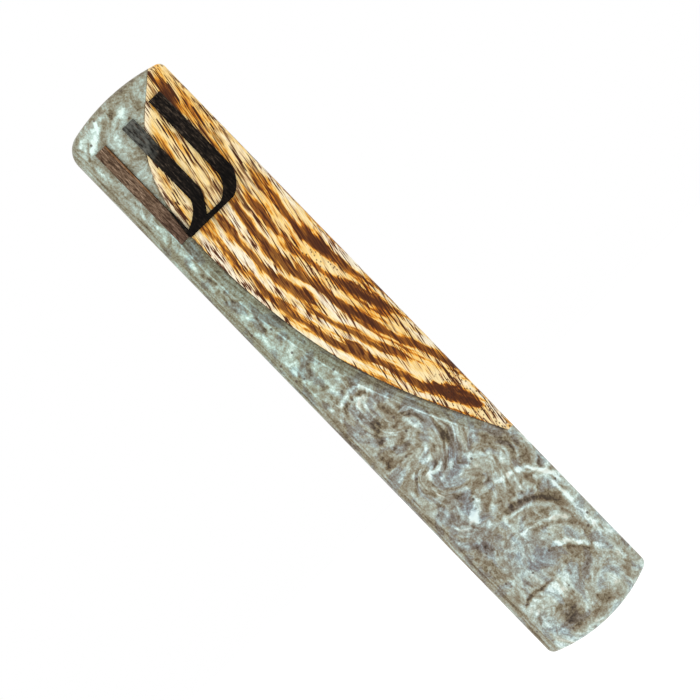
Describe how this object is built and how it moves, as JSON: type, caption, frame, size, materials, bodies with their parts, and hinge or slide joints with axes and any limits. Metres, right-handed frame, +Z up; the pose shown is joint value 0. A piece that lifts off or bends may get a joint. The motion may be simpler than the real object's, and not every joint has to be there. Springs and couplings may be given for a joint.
{
  "type": "mezuzah case",
  "caption": "Slim upright case of wood and pearl resin with a raised letter, sliding onto a dovetail wall plate, with a rolled scroll inside.",
  "frame": {"origin": "on the wall plane, at the middle of the adhesive strip's outer face, which is also the middle of the case", "axes": "+Z up along the case, +X to the right as seen from the room, -Y out of the wall towards the room, so the letter faces -Y"},
  "size_m": [0.0274, 0.0185, 0.15],
  "materials": {
    "pearl_resin": "polished, pearlescent grey swirls",
    "zebra_wood": "oiled and polished, strong dark streaks",
    "brown_wenge": "satin, fine straight grain",
    "black_wenge": "satin, stained near black",
    "plate_plastic": "fine matt moulded",
    "foam_tape": "closed-cell foam with a tacky face",
    "parchment": "matt, prepared skin",
    "clear_film": "clear glossy film"
  },
  "bodies": {
    "wall_plate": {"mounting_plate": "plate_plastic", "adhesive_strip": "foam_tape"},
    "case": {"resin_casting": "pearl_resin", "wood_blank": "zebra_wood", "shin_left_arm": "brown_wenge", "shin_double_arm": "black_wenge"},
    "scroll": {"parchment_scroll": "parchment", "scroll_sleeve": "clear_film"}
  },
  "joints": [
    {"name": "case_slide", "type": "slide", "parent": "wall_plate", "child": "case", "axis": [0, 0, 1], "range_m": [0, 0.136]},
    {"name": "scroll_play", "type": "slide", "parent": "case", "child": "scroll", "axis": [0, 0, 1], "range_m": [0, 0.0088]}
  ]
}
